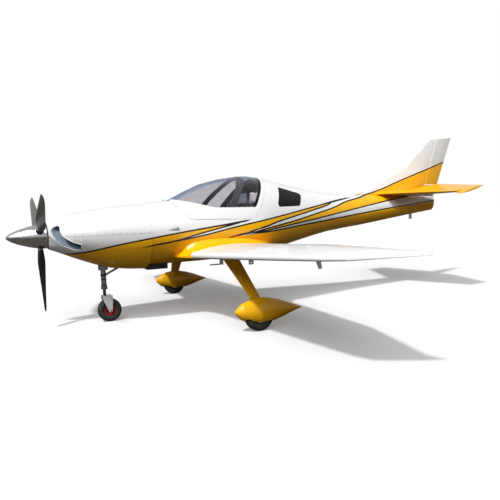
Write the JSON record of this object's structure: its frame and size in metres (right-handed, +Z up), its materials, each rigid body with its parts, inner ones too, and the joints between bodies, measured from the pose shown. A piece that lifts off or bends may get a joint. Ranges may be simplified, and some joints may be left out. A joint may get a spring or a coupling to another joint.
{
  "type": "training aircraft",
  "caption": "Low-wing two-seat training aircraft on fixed tricycle gear, with a forward-hinged canopy, turning propeller and wheels, a steered nose wheel and hinged control surfaces.",
  "frame": {"origin": "on the ground under the middle of the overall box", "axes": "+X aft, +Y to starboard along the span, +Z up"},
  "size_m": [7.2551, 7.532, 2.495],
  "materials": {
    "skin": "gloss",
    "white_skin": "gloss",
    "glazing": "gloss",
    "dark_glazing": "gloss",
    "steel": "satin",
    "trim": "matte",
    "panel": "matte",
    "seat": "matte",
    "black_metal": "satin",
    "engine": "satin",
    "chrome": "polished",
    "alloy": "satin",
    "blade": "satin",
    "leg": "gloss",
    "strut": "satin",
    "tyre": "matte",
    "red_hub": "satin"
  },
  "bodies": {
    "airframe": {"fuselage_shell": "skin", "canopy_hinge_brackets": "steel", "quarter_windows": "dark_glazing", "firewall": "steel", "cabin_floor": "trim", "rear_bulkhead": "trim", "instrument_panel": "panel", "seats": "seat", "pedestal": "trim", "control_sticks": "panel", "upper_cowl": "white_skin", "lower_cowl": "skin", "nose_gear_fairing": "strut", "outlet_duct": "black_metal", "engine_block": "engine", "wing_starboard": "white_skin", "wing_port": "white_skin", "wing_root_fairings": "skin", "tailplane": "skin", "fin": "white_skin", "main_gear_legs": "leg", "main_axles": "steel", "wheel_pants_front": "skin", "wheel_pants_rear": "skin", "nose_strut": "strut", "drag_brace": "strut", "pitot": "alloy", "tie_down_lugs": "alloy", "wing_blades": "alloy"},
    "propeller": {"spinner": "chrome", "propeller_hub": "alloy", "propeller_blades": "blade"},
    "canopy": {"canopy_frame": "skin", "canopy_glass": "glazing"},
    "nose_steering": {"nose_fork": "alloy", "nose_axle": "steel"},
    "nose_wheel": {"nose_tyre": "tyre", "nose_hub": "red_hub"},
    "main_wheel_port": {"main_tyre_port": "tyre", "main_hub_port": "alloy"},
    "main_wheel_starboard": {"main_tyre_starboard": "tyre", "main_hub_starboard": "alloy"},
    "aileron_port": {"aileron_port": "white_skin"},
    "aileron_starboard": {"aileron_starboard": "white_skin"},
    "flap_port": {"flap_port": "white_skin"},
    "flap_starboard": {"flap_starboard": "white_skin"},
    "elevator": {"elevator": "skin"},
    "rudder": {"rudder": "white_skin"}
  },
  "joints": [
    {"name": "propeller_spin", "type": "hinge", "parent": "airframe", "child": "propeller", "pos_m": [-3.2505, 0, 1.145], "axis": [1, 0, 0], "continuous": true},
    {"name": "canopy_lift", "type": "hinge", "parent": "airframe", "child": "canopy", "pos_m": [-1.6415, 0, 1.536], "axis": [0, -1, 0], "range_deg": [0, 50]},
    {"name": "nose_steer", "type": "hinge", "parent": "airframe", "child": "nose_steering", "pos_m": [-2.5225, 0, 0.344], "axis": [0, 0, 1], "range_deg": [-45, 45]},
    {"name": "nose_wheel_spin", "type": "hinge", "parent": "nose_steering", "child": "nose_wheel", "pos_m": [-2.4725, 0, 0.152], "axis": [0, 1, 0], "continuous": true},
    {"name": "main_wheel_port_spin", "type": "hinge", "parent": "airframe", "child": "main_wheel_port", "pos_m": [-1.0725, -1.5, 0.172], "axis": [0, 1, 0], "continuous": true},
    {"name": "main_wheel_starboard_spin", "type": "hinge", "parent": "airframe", "child": "main_wheel_starboard", "pos_m": [-1.0725, 1.5, 0.172], "axis": [0, 1, 0], "continuous": true},
    {"name": "aileron_port_turn", "type": "hinge", "parent": "airframe", "child": "aileron_port", "pos_m": [-0.6975, -2.475, 0.991], "axis": [-0.203, -0.9775, 0.0577], "range_deg": [-20, 20]},
    {"name": "aileron_starboard_turn", "type": "hinge", "parent": "airframe", "child": "aileron_starboard", "pos_m": [-0.6975, 2.475, 0.991], "axis": [-0.203, 0.9775, 0.0577], "range_deg": [-20, 20]},
    {"name": "flap_port_drop", "type": "hinge", "parent": "airframe", "child": "flap_port", "pos_m": [-0.6305, -0.69, 0.88], "axis": [0.0356, 0.9974, -0.0621], "range_deg": [0, 35]},
    {"name": "flap_starboard_drop", "type": "hinge", "parent": "airframe", "child": "flap_starboard", "pos_m": [-0.6305, 0.69, 0.88], "axis": [-0.0356, 0.9974, 0.0621], "range_deg": [0, 35]},
    {"name": "elevator_turn", "type": "hinge", "parent": "airframe", "child": "elevator", "pos_m": [2.6025, 0, 1.56], "axis": [0, -1, 0], "range_deg": [-34, 14]},
    {"name": "rudder_turn", "type": "hinge", "parent": "airframe", "child": "rudder", "pos_m": [3.0125, 0, 1.706], "axis": [0.3385, 0, 0.941], "range_deg": [-30, 30]}
  ],
  "couplings": [
    {"joint": "aileron_starboard_turn", "follows": "aileron_port_turn", "ratio": 1},
    {"joint": "flap_starboard_drop", "follows": "flap_port_drop", "ratio": 1}
  ]
}
